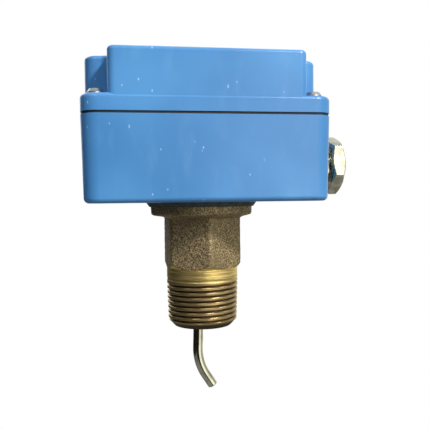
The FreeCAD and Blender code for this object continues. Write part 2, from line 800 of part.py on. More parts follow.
def make_paddle_lever():
    """Round rod from the rocker's socket, down through the bore and bent downstream at its end."""
    body = new_body("paddle_lever")
    top = "(stem_length - socket_depth + rest_gap)"
    route = sketch(body, "XZ_Plane")
    bend, turn = number("lever_bend_radius"), math.radians(number("lever_bend_angle"))
    drop, tip = number("lever_straight"), number("lever_tip_length")
    middle = Vector(bend, -drop, 0)
    bend_points = [middle - Vector(math.cos(a), math.sin(a), 0) * bend for a in (0, turn / 2, turn)]
    tip_end = bend_points[2] + Vector(math.sin(turn), -math.cos(turn), 0) * tip
    route.addGeometry(Part.LineSegment(Vector(0, -number(top), 0), bend_points[0]))
    route.addGeometry(Part.Arc(*bend_points))
    route.addGeometry(Part.LineSegment(bend_points[2], tip_end))
    route.addConstraint(Sketcher.Constraint("Tangent", 0, 2, 1, 1))
    route.addConstraint(Sketcher.Constraint("Tangent", 1, 2, 2, 1))
    pin_down(route, 0, 1, "0", f"-{top}")
    pin_down(route, 0, 2, "0", "-lever_straight")
    for kind, index, amount in (("Radius", 1, "lever_bend_radius"), ("Distance", 2, "lever_tip_length")):
        tied = route.addConstraint(Sketcher.Constraint(kind, index, number(amount)))
        route.setExpression(f"Constraints[{tied}]", formula(amount))
    lean = math.radians(number("lever_bend_angle")) - math.pi / 2
    tied = route.addConstraint(Sketcher.Constraint("Angle", 2, lean))
    route.setExpression(f"Constraints[{tied}]", formula("(lever_bend_angle - 90) * 1 deg"))
    section = sketch(body, level=f"-{top}")
    circle(section, "lever_radius")
    doc.recompute()
    rod = body.newObject("PartDesign::AdditivePipe", "AdditivePipe")
    rod.Profile = section
    rod.Spine = route
    doc.recompute()
    lowest = rod.Shape.BoundBox.ZMin

    def at_tip(edge):
        return edge.BoundBox.ZMin < lowest + number("lever_radius") and edge.isClosed()

    soften(body, "Chamfer", edges_where(rod.Shape, at_tip)[:1], Size="lever_tip_edge")
    tilt_about_pivot(body)
    return body


def bellows_lean(level):
    """How far the lever's leaning axis stands from the bore's axis at a level."""
    return f"(({level} - {PIVOT}) * tan{TILT})"


RING_UNDER = f"({BORE_TOP} - seal_ring_thickness)"
BELLOWS_FOOT = f"({RING_UNDER} - bellows_length)"
BELLOWS_SHIFT = bellows_lean(f"({RING_UNDER} + {BELLOWS_FOOT}) / 2")


def make_seal_ring():
    """Ring brazed under the throat's step, which carries the bellows' open end."""
    body = turned_piece("seal_ring", [
        ("seal_ring_bore", RING_UNDER),
        ("seal_ring_radius", RING_UNDER),
        ("seal_ring_radius", BORE_TOP),
        ("seal_ring_bore", BORE_TOP),
    ])
    return body


def make_bellows():
    """Thin folded bronze tube that seals the lever and bends with it."""
    body = new_body("bellows")
    folds = int(number("bellows_folds"))
    profile = sketch(body, "XZ_Plane")
    step = f"bellows_length / {folds}"
    outer = [("bellows_neck_radius", "0")]
    for k in range(folds):
        outer.append(("bellows_neck_radius", f"{step} * {k + 0.12}"))
        outer.append(("bellows_radius", f"{step} * {k + 0.38}"))
        outer.append(("bellows_radius", f"{step} * {k + 0.62}"))
        outer.append(("bellows_neck_radius", f"{step} * {k + 0.88}"))
    outer.append(("bellows_neck_radius", "bellows_length"))
    inner = [(f"{radius} - bellows_skin", height) for radius, height in reversed(outer)]
    outline(profile, outer + inner)
    turned(body, profile)
    place(body, BELLOWS_SHIFT, "0", BELLOWS_FOOT)
    return body


def make_end_cap():
    """Cap brazed on the lever, which closes the bellows' lower end."""
    drop = f"({PIVOT} - {BELLOWS_FOOT} + rest_gap)"
    body = turned_piece("bellows_cap", [
        ("lever_radius + thread_play", f"0 - {drop} - end_cap_thickness"),
        ("bellows_radius - 1", f"0 - {drop} - end_cap_thickness"),
        ("bellows_radius", f"1 - {drop} - end_cap_thickness"),
        ("bellows_radius", f"0 - {drop}"),
        ("lever_radius + thread_play", f"0 - {drop}"),
    ])
    tilt_about_pivot(body)
    return body


def make_switch():
    """Snap switch: moulded case with barriers, plunger, three terminals and their screws."""
    case = new_body("switch_case")
    block = sketch(case, "XZ_Plane", "-chassis_face_back")
    corners = [("-switch_left", SWITCH_UNDER), ("switch_right", SWITCH_UNDER)]
    corners += [("switch_right", SWITCH_TOP), ("-switch_left", SWITCH_TOP)]
    rounded_outline(block, corners, ["switch_edge"] * 4)
    pad(case, block, "chassis_face_back + switch_front")
    length = "(switch_left + switch_right)"
    for k in range(4):
        start = f"{k} * ({length} - barrier_thickness - 2 * switch_edge) / 3 - switch_left + switch_edge"
        barrier = sketch(case, level=SWITCH_TOP)
        box_outline(barrier, start, f"{start} + barrier_thickness", "-switch_front", "chassis_face_back")
        pad(case, barrier, "barrier_height")
    guide = sketch(case, level=SWITCH_UNDER)
    circle(guide, "plunger_radius + pin_play", "plunger_place", "0")
    pocket(case, guide, "plunger_hidden + 2", forward=True)
    fixing = sketch(case, "XZ_Plane", "switch_front")
    for x, z in switch_hole_places():
        circle(fixing, "small_screw_radius + thread_play", x, z)
    pocket(case, fixing, "chassis_face_back + switch_front + 1")
    contact = f"{PIVOT} + {ROCKER_TOP} * cos{TILT} - (plunger_place - plunger_radius) * sin{TILT} + 0.1"
    plunger = turned_piece("switch_plunger", [
        ("0", contact),
        ("plunger_radius * 0.6", contact),
        ("plunger_radius", f"{contact} + plunger_radius * 0.4"),
        ("plunger_radius", f"{SWITCH_UNDER} + plunger_hidden"),
        ("0", f"{SWITCH_UNDER} + plunger_hidden"),
    ])
    place(plunger, "plunger_place")
    plates, terminal_screws = [], []
    bay = f"({length} - barrier_thickness - 2 * switch_edge) / 3"
    taps = sketch(case, level=SWITCH_TOP)
    for k in range(3):
        middle = f"{k + 0.5} * {bay} - switch_left + switch_edge + barrier_thickness / 2"
        plate = new_body(f"terminal_{k + 1}")
        blank = sketch(plate)
        half = f"({bay} - barrier_thickness) / 2 - 0.4"
        box_outline(blank, f"-({half})", half, "-terminal_length / 2", "terminal_length / 2")
        circle(blank, "small_screw_radius + thread_play")
        pad(plate, blank, "terminal_thickness")
        place(plate, middle, "0", SWITCH_TOP)
        plates.append(plate)
        screw = pan_screw(f"terminal_screw_{k + 1}", "small", "terminal_screw_length")
        place(screw, middle, "0", f"{SWITCH_TOP} + terminal_thickness")
        terminal_screws.append(screw)
        circle(taps, "small_screw_radius + thread_play", middle, "0")
    pocket(case, taps, "4.5")
    fixings = []
    for index, (x, z) in enumerate(switch_hole_places(), 1):
        screw = pan_screw(f"switch_screw_{index}", "small",
                          "(switch_front + chassis_face_back + sheet_thickness + 0.8)")
        place(screw, x, "-switch_front", z, axis=(1, 0, 0), angle="90")
        fixings.append(screw)
    return [case, plunger, group("terminal_plates", plates), group("terminal_screws", terminal_screws),
            group("switch_screws", fixings)]


def make_range_parts():
    """Range spring between rocker and nut, with the screw that moves the nut."""
    helix = doc.addObject("Part::Helix", "spring_line")
    bind(helix, Pitch="spring_height / spring_turns", Height="spring_height", Radius="spring_radius")
    wire_circle = doc.addObject("Part::Circle", "spring_section")
    bind(wire_circle, Radius="spring_wire")
    wire_circle.Placement = Placement(Vector(number("spring_radius"), 0, 0), Rotation(Vector(1, 0, 0), 90))
    bind(wire_circle, Placement__Base__x="spring_radius")
    coil = doc.addObject("Part::Sweep", "range_spring")
    coil.Label = "range_spring"
    coil.Sections = [wire_circle]
    coil.Spine = (helix, [])
    coil.Solid = True
    coil.Frenet = True
    place(coil, "spring_place", "0", f"{SPRING_FOOT} + spring_wire")

    nut = new_body("range_nut")
    square = sketch(nut)
    box_outline(square, "-range_nut_width / 2", "range_nut_width / 2", "-range_nut_width / 2",
                "chassis_face_back - rest_gap")
    circle(square, "range_screw_radius + pin_play")
    pad(nut, square, "range_nut_thickness")
    place(nut, "spring_place", "0", f"{NUT_UNDER} + rest_gap")

    screw = turned_piece("range_screw", [
        ("0", "sheet_thickness - range_screw_length"),
        ("range_screw_radius * 0.7", "sheet_thickness - range_screw_length"),
        ("range_screw_radius", "sheet_thickness - range_screw_length + 1"),
        ("range_screw_radius", "0.05"),
        ("range_head_radius", "0.05"),
        ("range_head_radius", "range_head_height - 0.6"),
        ("range_head_radius - 0.6", "range_head_height"),
        ("0", "range_head_height"),
    ])
    slot = sketch(screw, level="range_head_height")
    box_outline(slot, "-range_head_radius - 1", "range_head_radius + 1", "-0.6", "0.6")
    pocket(screw, slot, "1.8")
    place(screw, "spring_place", "0", CHASSIS_TOP)

    clip = turned_piece("range_clip", [
        ("range_screw_radius + thread_play", "0"),
        ("clip_radius", "0"),
        ("clip_radius", "clip_thickness"),
        ("range_screw_radius + thread_play", "clip_thickness"),
    ])
    place(clip, "spring_place", "0", f"{CHASSIS_TOP} - sheet_thickness - clip_thickness - 0.1")
    return [coil, nut, screw, clip]


def make_gland():
    """Cable entry along +X: body, sealing washer, lock nut, rubber sleeve and cap nut."""
    turned_to_x = {"axis": (0, 1, 0), "angle": "90"}
    body = new_body("gland_body")
    hexed = sketch(body)
    hexagon(hexed, "gland_flats", "cap_turn")
    pad(body, hexed, "gland_hex_length")
    shank = sketch(body, "XZ_Plane")
    outline(shank, [
        ("0", "0 - gland_stub_length"),
        ("entry_thread_radius - 0.6", "0 - gland_stub_length"),
        ("entry_thread_radius", "0.6 - gland_stub_length"),
        ("entry_thread_radius", "gland_hex_length + gland_nose_length"),
        ("0", "gland_hex_length + gland_nose_length"),
    ])
    turned(body, shank)
    bore = sketch(body, "XZ_Plane")
    outline(bore, [
        ("0", "0 - gland_stub_length"),
        ("seal_radius - 1", "0 - gland_stub_length"),
        ("seal_radius - 1", "gland_hex_length + gland_nose_length - seal_length"),
        ("seal_radius + 0.05", "gland_hex_length + gland_nose_length - seal_length"),
        ("seal_radius + 0.05", "gland_hex_length + gland_nose_length"),
        ("0", "gland_hex_length + gland_nose_length"),
    ])
    turned(body, bore, "Groove")
    place(body, GLAND_FOOT, "0", ENTRY, **turned_to_x)

    washer = turned_piece("gland_washer", [
        ("entry_thread_radius + 0.05", "0"),
        ("entry_washer_radius", "0"),
        ("entry_washer_radius", "entry_washer_thickness"),
        ("entry_thread_radius + 0.05", "entry_washer_thickness"),
    ])
    place(washer, ENTRY_FACE, "0", ENTRY, **turned_to_x)

    locknut = new_body("gland_locknut")
    nut_outline = sketch(locknut)
    hexagon(nut_outline, "gland_nut_flats", "0")
    circle(nut_outline, "entry_thread_radius + thread_play")
    pad(locknut, nut_outline, "gland_nut_thickness")
    place(locknut, "case_length / 2 - case_wall - gland_nut_thickness", "0", ENTRY, **turned_to_x)

    seal = turned_piece("gland_seal", [
        ("cable_radius", "0"),
        ("seal_radius", "0"),
        ("seal_radius", "seal_length"),
        ("cable_radius", "seal_length"),
    ])
    place(seal, f"{GLAND_SHOULDER} + gland_nose_length - seal_length", "0", ENTRY, **turned_to_x)

    cap = new_body("gland_cap_nut")
    cap_hex = sketch(cap)
    hexagon(cap_hex, "cap_flats", "cap_turn")
    pad(cap, cap_hex, "cap_hex_length")
    lip = sketch(cap, "XZ_Plane")
    outline(lip, [
        ("0", "0"),
        ("cap_lip_radius", "0"),
        ("cap_lip_radius", "cap_hex_length + cap_lip_length * 0.5"),
        ("cap_lip_radius - cap_lip_length * 0.5", "cap_hex_length + cap_lip_length"),
        ("0", "cap_hex_length + cap_lip_length"),
    ])
    turned(cap, lip)
    inside = sketch(cap, "XZ_Plane")
    outline(inside, [
        ("0", "0"),
        ("entry_thread_radius + pin_play", "0"),
        ("entry_thread_radius + pin_play", "cap_hex_length + cap_lip_length - cap_web"),
        ("cap_mouth_radius", "cap_hex_length + cap_lip_length - cap_web"),
        ("cap_mouth_radius", "cap_hex_length + cap_lip_length"),
        ("0", "cap_hex_length + cap_lip_length"),
    ])
    turned(cap, inside, "Groove")
    place(cap, f"{GLAND_SHOULDER} + gland_nose_length + cap_gap + cap_web - cap_hex_length - cap_lip_length",
          "0", ENTRY, **turned_to_x)
    return [body, washer, locknut, seal, cap]


pieces = [
    make_body_casting(),
    make_flange_gasket(),
    make_enclosure_base(),
    make_enclosure_cover(),
    make_cover_gasket(),
    *make_screws(),
    make_earth_washer(),
    make_chassis(),
    make_pivot_pin(),
    make_rocker(),
    make_paddle_lever(),
    make_seal_ring(),
    make_bellows(),
    make_end_cap(),
    *make_switch(),
    *make_range_parts(),
    *make_gland(),
]
doc.recompute()

for item in doc.Objects:
    if {"Invalid", "Error"} & set(item.State):
        raise RuntimeError(f"{item.Name} of {item.Label} failed: {item.State}")
for piece in pieces:
    if piece.Shape.isNull() or not piece.Shape.isValid():
        raise RuntimeError(f"{piece.Label} has no valid shape")

os.makedirs("parts", exist_ok=True)
for piece in pieces:
    piece.Shape.exportStep(f"parts/{piece.Label}.step")
print(len(pieces), "pieces written")
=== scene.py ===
# %% [markdown]
# # A paddle flow switch in its real finishes
# The frame below is the measured model: every casting, screw and lever at its real place. This script
# gives each piece its finish, and re-makes the pieces whose surface carries the character of the real
# one: the sand-cast bronze body with its pipe thread, the bellows, the range spring and the gland.

# %% Load the frame
import json
import math

import bpy
import numpy as np
from mathutils import Matrix, Vector


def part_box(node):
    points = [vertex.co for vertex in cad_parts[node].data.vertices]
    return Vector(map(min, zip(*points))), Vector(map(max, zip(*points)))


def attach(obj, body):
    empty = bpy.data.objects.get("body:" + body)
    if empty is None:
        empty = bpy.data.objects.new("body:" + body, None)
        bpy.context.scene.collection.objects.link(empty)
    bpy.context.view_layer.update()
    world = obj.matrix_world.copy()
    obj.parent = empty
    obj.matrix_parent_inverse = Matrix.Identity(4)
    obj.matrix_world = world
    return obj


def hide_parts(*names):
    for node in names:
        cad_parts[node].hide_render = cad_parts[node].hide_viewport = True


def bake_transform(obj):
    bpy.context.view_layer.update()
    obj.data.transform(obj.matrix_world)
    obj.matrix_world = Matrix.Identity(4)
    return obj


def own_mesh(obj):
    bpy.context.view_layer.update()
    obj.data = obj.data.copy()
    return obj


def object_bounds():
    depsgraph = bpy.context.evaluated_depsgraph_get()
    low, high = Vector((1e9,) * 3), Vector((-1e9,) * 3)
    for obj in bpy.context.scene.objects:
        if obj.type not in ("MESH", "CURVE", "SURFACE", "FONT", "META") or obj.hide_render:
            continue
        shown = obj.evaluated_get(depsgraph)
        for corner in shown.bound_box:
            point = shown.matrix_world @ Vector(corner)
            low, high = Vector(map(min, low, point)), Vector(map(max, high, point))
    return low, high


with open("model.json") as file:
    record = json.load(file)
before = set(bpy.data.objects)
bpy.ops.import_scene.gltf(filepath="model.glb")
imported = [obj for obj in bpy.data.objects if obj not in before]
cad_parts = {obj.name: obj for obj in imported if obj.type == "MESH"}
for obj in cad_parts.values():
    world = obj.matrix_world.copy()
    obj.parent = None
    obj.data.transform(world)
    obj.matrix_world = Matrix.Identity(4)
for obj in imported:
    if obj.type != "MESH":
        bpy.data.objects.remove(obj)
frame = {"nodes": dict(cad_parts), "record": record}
cad_box = [list(corner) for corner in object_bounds()]
MM = 0.001
print("nodes in the frame:", len(frame["nodes"]))

# %% [markdown]
# ## Colour and nodes
# Paint charts give colours as sRGB codes, but the shaders add light in linear values.
# One function makes that step, so each colour below can be read off a chart. A second function adds a
# shader node: its settings and its inputs are given together, so that a material reads as a short list.


# %% Helpers for colours and shader nodes
def linear(code):
    """Linear colour of an sRGB hex code: each channel c goes to ((c + 0.055) / 1.055) ** 2.4."""
    channels = [int(code[i:i + 2], 16) / 255 for i in (1, 3, 5)]
    return tuple(c / 12.92 if c <= 0.04045 else ((c + 0.055) / 1.055) ** 2.4 for c in channels) + (1.0,)


def add(tree, kind, inputs=None, **settings):
    """Add one node. Inputs are values or other nodes' outputs, by the socket's name or number."""
    made = tree.nodes.new(kind)
    for name, setting in settings.items():
        setattr(made, name, setting)
    for name, given in (inputs or {}).items():
        if isinstance(given, bpy.types.NodeSocket):
            tree.links.new(given, made.inputs[name])
        else:
            made.inputs[name].default_value = given
    return made


def material(name, **values):
    """New material whose Principled shader has these plain numbers, and its node tree."""
    made = bpy.data.materials.new(name)
    made.use_nodes = True
    tree = made.node_tree
    shader = next(n for n in tree.nodes if n.type == "BSDF_PRINCIPLED")
    for socket, value in values.items():
        shader.inputs[socket.replace("_", " ")].default_value = value
    return made, tree, shader


def spread(tree, low, high, value):
    """Smooth step of a value from 0 at low to 1 at high."""
    inputs = {0: value, 1: low, 2: high}
    return add(tree, "ShaderNodeMapRange", inputs, interpolation_type="SMOOTHSTEP").outputs[0]


def blend_colour(tree, amount, first, second):
    """Mix of two colours, each a hex code or another node's output."""
    first, second = (linear(c) if isinstance(c, str) else c for c in (first, second))
    mixed = add(tree, "ShaderNodeMix", {0: amount, 6: first, 7: second}, data_type="RGBA")
    return mixed.outputs[2]


def noise(tree, size_mm, detail=2.0, roughness=0.5, stretch=(1, 1, 1)):
    """Noise whose lumps are about size_mm across on the object, stretched along its axes."""
    coordinates = add(tree, "ShaderNodeTexCoord").outputs["Object"]
    scale = tuple(1 / (size_mm * MM * s) for s in stretch)
    scaled = add(tree, "ShaderNodeMapping", {"Vector": coordinates, "Scale": scale}).outputs[0]
    inputs = {"Vector": scaled, "Scale": 1.0, "Detail": detail, "Roughness": roughness}
    return add(tree, "ShaderNodeTexNoise", inputs).outputs["Fac"]


def bump(tree, shader, height, depth_mm, strength=1.0):
    """Let a height pattern of a real depth tilt the shader's normal."""
    inputs = {"Height": height, "Distance": depth_mm * MM, "Strength": strength}
    bumped = add(tree, "ShaderNodeBump", inputs)
    tree.links.new(bumped.outputs[0], shader.inputs["Normal"])


# %% [markdown]
# ## The enamelled case
# The case is die-cast metal under sky-blue stoving enamel, sprayed and baked. It is thick and semi-gloss,
# flows into a faint orange peel about 1.5 mm across, and varies a little in shade where it pooled or ran.
# Handling has left pale nicks: short upright dashes, each one in its own random cell of a grid, with most
# cells empty. They could be painted on a map by hand, but cells need no map and suit every side alike.
# The nicks gather in patches, and more of them on the cover, which is handled most. So a slow noise lets
# them through, and it is raised with height.


# %% Sky-blue enamel
def nicks(tree, cell_mm, upright, width, share):
    """Pale dashes: 1 inside a small distance of a random point, in a random share of the cells. The
    cells are taller than wide by the upright factor, and width is a share of a cell."""
    raggedness, wobble_scale = 0.12, 7.0
    coordinates = add(tree, "ShaderNodeTexCoord").outputs["Object"]
    scale = [1 / (cell_mm * MM)] * 2 + [1 / (cell_mm * MM * upright)]
    cells = add(tree, "ShaderNodeMapping", {"Vector": coordinates, "Scale": scale}).outputs[0]
    wobble = add(tree, "ShaderNodeTexNoise", {"Vector": cells, "Scale": wobble_scale}).outputs["Color"]
    mixing = {0: raggedness, 4: cells, 5: wobble}
    ragged = add(tree, "ShaderNodeMix", mixing, data_type="VECTOR").outputs[1]
    spots = add(tree, "ShaderNodeTexVoronoi", {"Vector": ragged, "Scale": 1.0}).outputs
    inside = spread(tree, width, width * 0.4, spots["Distance"])
    chosen = add(tree, "ShaderNodeSeparateColor", {0: spots["Color"]}).outputs[0]
    kept = add(tree, "ShaderNodeMath", {0: chosen, 1: 1 - share}, operation="GREATER_THAN").outputs[0]
    return add(tree, "ShaderNodeMath", {0: inside, 1: kept}, operation="MULTIPLY").outputs[0]


def stoving_enamel():
    """Blue of two pooled shades, with faint runs and paler, duller nicks over a fine orange peel."""
    made, tree, shader = material("stoving_enamel_blue", IOR=1.5)
    glossy, dulled = 0.3, 0.6
    pooling = spread(tree, 0.35, 0.68, noise(tree, 42.0, detail=1.5))
    shade = blend_colour(tree, pooling, "#4A8CCC", "#589DDD")
    runs = spread(tree, 0.52, 0.85, noise(tree, 7.0, detail=3.0, stretch=(1, 1, 3)))
    faint_runs = add(tree, "ShaderNodeMath", {0: runs, 1: 0.2}, operation="MULTIPLY").outputs[0]
    shade = blend_colour(tree, faint_runs, shade, "#7FB6E6")
    coordinates = add(tree, "ShaderNodeTexCoord").outputs["Object"]
    height = add(tree, "ShaderNodeSeparateXYZ", {0: coordinates}).outputs["Z"]
    on_cover = spread(tree, 60 * MM, 76 * MM, height)
    patches = {0: on_cover, 1: 0.16, 2: noise(tree, 17.0, detail=1.0)}
    raised = add(tree, "ShaderNodeMath", patches, operation="MULTIPLY_ADD").outputs[0]
    handled = spread(tree, 0.48, 0.6, raised)
    small, large = nicks(tree, 2.6, 1.8, 0.13, 0.3), nicks(tree, 4.2, 3.0, 0.1, 0.42)
    either = add(tree, "ShaderNodeMath", {0: small, 1: large}, operation="MAXIMUM").outputs[0]
    nicked = add(tree, "ShaderNodeMath", {0: either, 1: handled}, operation="MULTIPLY").outputs[0]
    paler = add(tree, "ShaderNodeMath", {0: nicked, 1: 0.65}, operation="MULTIPLY").outputs[0]
    tree.links.new(blend_colour(tree, paler, shade, "#CFE2F2"), shader.inputs["Base Color"])
    sheen = add(tree, "ShaderNodeMapRange", {0: nicked, 3: glossy, 4: dulled}).outputs[0]
    tree.links.new(sheen, shader.inputs["Roughness"])
    bump(tree, shader, noise(tree, 1.5, detail=1.0), depth_mm=0.015)
    return made


# %% [markdown]
# ## Bronze, as cast and as turned
# The body is sand-cast bronze. The sand leaves grains of about half a millimetre that catch the light as
# bright points on a brown-olive skin. The lathe then cuts the neck and the thread back to yellow metal
# with fine rings, drawn here 0.35 mm apart, about twice the tool's real feed, so that they show. The
# thread has since tarnished to brown, and painted shade darkens its roots, the neck's undercut and the
# bore. Two materials with a mask between them would do too, but one material keeps the grain running up
# to the cut edge: attributes written on the mesh say where the metal was turned, tarnished or painted in
# shade.


# %% Cast bronze and turned bronze in one material
def cast_bronze():
    """Grainy brown skin, and where turned is 1 a yellow ringed metal, browned by tarnish and darkened in
    recesses by painted shade.
    """
    made, tree, shader = material("sand_cast_bronze", Metallic=1.0)
    as_cast, as_turned = 0.7, 0.46
    turned, tarnish, recess_shade = (add(tree, "ShaderNodeAttribute", attribute_name=name).outputs["Fac"]
                               for name in ("turned", "tarnish", "recess_shade"))
    grain = noise(tree, 0.52, detail=1.0, roughness=0.6)
    skin = blend_colour(tree, spread(tree, 0.32, 0.74, grain), "#64543A", "#D6C49E")
    toned = blend_colour(tree, spread(tree, 0.4, 0.9, noise(tree, 6.0)), skin, "#8C7E60")
    rings = noise(tree, 0.35, detail=2.0, stretch=(30, 30, 1))
    cut = blend_colour(tree, spread(tree, 0.35, 0.65, rings), "#C6A75B", "#FAE6A2")
    browned = blend_colour(tree, tarnish, cut, "#B49C74")
    # painted shade: the thread's roots, the neck's undercut and the bore darkened to a dark brown
    darkened = blend_colour(tree, recess_shade, browned, "#33281A")
    tree.links.new(blend_colour(tree, turned, toned, darkened), shader.inputs["Base Color"])
    rough = add(tree, "ShaderNodeMapRange", {0: turned, 3: as_cast, 4: as_turned}).outputs[0]
    tree.links.new(rough, shader.inputs["Roughness"])
    height = add(tree, "ShaderNodeMix", {0: turned, 2: grain, 3: rings}).outputs[0]
    bump(tree, shader, height, depth_mm=0.12, strength=0.8)
    return made


# %% [markdown]
# ## Turned, plated and drawn metals
# The smaller metal pieces differ in colour, polish and the marks of the tool. One function covers them:
# a base colour with a slightly darker tone in patches, and fine marks of a given pitch along one axis.
# Zinc plate is dull and bluish, polished stainless mirrors the room, turned brass shows rings about its
# axis, and nickel plate is warm and bright. The marks are drawn a few tenths of a millimetre apart, coarser
# than the tool's, so that they show.


# %% One function for the small metal pieces
def worked_metal(name, colour, dark, roughness, mark_mm, stretch, depth_mm=0.006):
    """Metal of a colour, darker in patches of 4 mm, whose marks vary its roughness and tilt its normal."""
    made, tree, shader = material(name, Metallic=1.0)
    tone = spread(tree, 0.38, 0.72, noise(tree, 4.0, detail=3.0))
    tree.links.new(blend_colour(tree, tone, colour, dark), shader.inputs["Base Color"])
    marks = noise(tree, mark_mm, detail=2.0, stretch=stretch)
    rough = add(tree, "ShaderNodeMapRange", {0: marks, 3: roughness * 0.75, 4: roughness * 1.35}).outputs[0]
    tree.links.new(rough, shader.inputs["Roughness"])
    bump(tree, shader, marks, depth_mm)
    return made


ROUND_Z, ROUND_X, EVEN = (20, 20, 1), (1, 20, 20), (1, 1, 1)
METALS = {
    "zinc_plated_steel": ("#C9CCCD", "#A5A8A6", 0.3, 0.5, EVEN),
    "polished_stainless": ("#E6E3CE", "#C4C0AC", 0.1, 0.25, (1, 1, 14), 0.0008),
    "turned_brass": ("#D9B765", "#A98A45", 0.28, 0.3, ROUND_Z),
    "phosphor_bronze": ("#C89562", "#9A6C44", 0.32, 0.4, ROUND_Z),
    "nickel_plated_brass": ("#E2DFCE", "#B9B59E", 0.24, 0.3, ROUND_X),
    "spring_steel": ("#8E9095", "#66686C", 0.32, 0.3, EVEN),
}


# %% [markdown]
# ## Rubber, fibre and moulded plastics
# These are dull, even materials. What the eye reads is a soft mottle and a grain: fine in the moulded
# switch case, coarse and fibrous in the pressed flange gasket, dusty in the black rubber.


# %% One function for the soft and moulded pieces
def moulded(name, colour, second, roughness, grain_mm, depth_mm):
    """Plain material of two close colours in a mottle six grains wide, with a grain of a real depth."""
    made, tree, shader = material(name, IOR=1.5)
    mottle = spread(tree, 0.35, 0.7, noise(tree, grain_mm * 6, detail=3.0))
    tree.links.new(blend_colour(tree, mottle, colour, second), shader.inputs["Base Color"])
    grain = noise(tree, grain_mm, detail=2.0)
    rough = add(tree, "ShaderNodeMapRange", {0: grain, 3: roughness - 0.06, 4: roughness + 0.08}).outputs[0]
    tree.links.new(rough, shader.inputs["Roughness"])
    bump(tree, shader, grain, depth_mm)
    return made


MOULDED = {
    "pressed_fibre": ("#4B5450", "#3A3F38", 0.8, 0.6, 0.05),
    "nitrile_rubber": ("#090C12", "#12161B", 0.62, 0.5, 0.02),
    "black_phenolic": ("#16171A", "#24262A", 0.42, 0.4, 0.02),
    "red_acetal": ("#A8261C", "#8C1B15", 0.3, 0.5, 0.01),
}

# %% [markdown]
# ## Which piece gets which finish
# Every node of the frame names a material slot. A table turns the slot into a finish, so that the same
# piece always gets the same one, also a piece that is made anew further down.


# %% Make every finish and give it to the nodes of its slot
finishes = {"stoving_enamel_blue": stoving_enamel(), "sand_cast_bronze": cast_bronze()}
finishes.update({name: worked_metal(name, *values) for name, values in METALS.items()})
finishes.update({name: moulded(name, *values) for name, values in MOULDED.items()})
SLOT_FINISH = {
    "blue_enamel": "stoving_enamel_blue",
    "cast_bronze": "sand_cast_bronze",
    "gasket_fibre": "pressed_fibre",
    "black_rubber": "nitrile_rubber",
    "zinc_steel": "zinc_plated_steel",
    "stainless_steel": "polished_stainless",
    "machined_brass": "turned_brass",
    "bellows_bronze": "phosphor_bronze",
    "black_phenolic": "black_phenolic",
    "red_acetal": "red_acetal",
    "spring_steel": "spring_steel",
    "nickel_brass": "nickel_plated_brass",
}
slot_of = {part["node"]: part["material_slot"] for part in frame["record"]["subparts"]}
for node_name, thing in frame["nodes"].items():
    thing.data.materials.clear()
    thing.data.materials.append(finishes[SLOT_FINISH[slot_of[node_name]]])
print("finishes made:", len(finishes))

# %% [markdown]
# ## Surfaces from arrays
# Each new piece is a grid of points: rows run along a profile and columns go round. The grid becomes
# quads in one step. Where a profile comes back to its start, the rows wrap as the columns do, and the
# piece is a closed ring with no seam and no pole.


# %% Grid of points to a mesh
def grid_piece(name, points, body, slot, wrap_rows=True, attributes=None):
    """Mesh of a (rows, columns, 3) array in millimetres. Columns always wrap; rows wrap if asked,
    and otherwise each open end is closed by one flat face. A piece given no body rides none."""
    rows, columns, _ = points.shape
    index = np.arange(rows * columns).reshape(rows, columns)
    ahead = np.roll(index, -1, axis=1)
    above, above_ahead = np.roll(index, -1, axis=0), np.roll(ahead, -1, axis=0)
    last = rows if wrap_rows else rows - 1
    quads = np.stack([index, ahead, above_ahead, above], axis=-1)[:last].reshape(-1, 4)
    faces = quads.tolist()
    if not wrap_rows:
        faces += [index[0][::-1].tolist(), index[-1].tolist()]
    mesh = bpy.data.meshes.new(name)
    mesh.from_pydata((points.reshape(-1, 3) * MM).tolist(), [], faces)
    for label, values in (attributes or {}).items():
        layer = mesh.attributes.new(label, "FLOAT", "POINT")
        layer.data.foreach_set("value", values.reshape(-1).astype(np.float32))
    mesh.shade_smooth()
    mesh.update()
    piece = bpy.data.objects.new(name, mesh)
    bpy.context.scene.collection.objects.link(piece)
    piece.data.materials.append(finishes[SLOT_FINISH[slot]])
    if body:
        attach(piece, body)
    print(name, "has", len(faces), "faces")
    return piece


def sharpen(piece, degrees):
    """Keep crisp shading across edges that turn by more than an angle."""
    mesh = piece.data
    normals = np.zeros(len(mesh.polygons) * 3)
    mesh.polygons.foreach_get("normal", normals)
    normals = normals.reshape(-1, 3)
    counts = np.zeros(len(mesh.polygons), np.int64)
    mesh.polygons.foreach_get("loop_total", counts)
    edge_of = np.zeros(len(mesh.loops), np.int64)
    mesh.loops.foreach_get("edge_index", edge_of)
    face_of = np.repeat(np.arange(len(counts)), counts)
    order = np.argsort(edge_of, kind="stable")
    first, second = face_of[order][0::2], face_of[order][1::2]
    turn = np.einsum("ij,ij->i", normals[first], normals[second])
    sharp = np.zeros(len(mesh.edges), bool)
    sharp[edge_of[order][0::2]] = turn < math.cos(math.radians(degrees))
    layer = mesh.attributes.new("sharp_edge", "BOOLEAN", "EDGE")
    layer.data.foreach_set("value", sharp)


def round_table(heights, radii, columns):
    """Points of a turned profile: radii may be one per row, or one per row and column."""
    angle = np.linspace(0, 2 * np.pi, columns, endpoint=False)
    radii = np.broadcast_to(np.atleast_2d(radii.T).T, (len(heights), columns))
    level = np.broadcast_to(heights[:, None], radii.shape)
    return np.stack([radii * np.cos(angle), radii * np.sin(angle), level], axis=-1)


def hex_radius(flats, turn, columns, corner):
    """Polar radius of a hexagon: half the flats over the cosine of the angle from the nearest flat's
    middle, with its corners worn back smoothly to a corner radius."""
    angle = np.degrees(np.linspace(0, 2 * np.pi, columns, endpoint=False))
    from_flat = (angle - turn) % 60 - 30
    sharp = flats / 2 / np.cos(np.radians(from_flat))
    return smaller(sharp, np.full(columns, corner), 0.35)


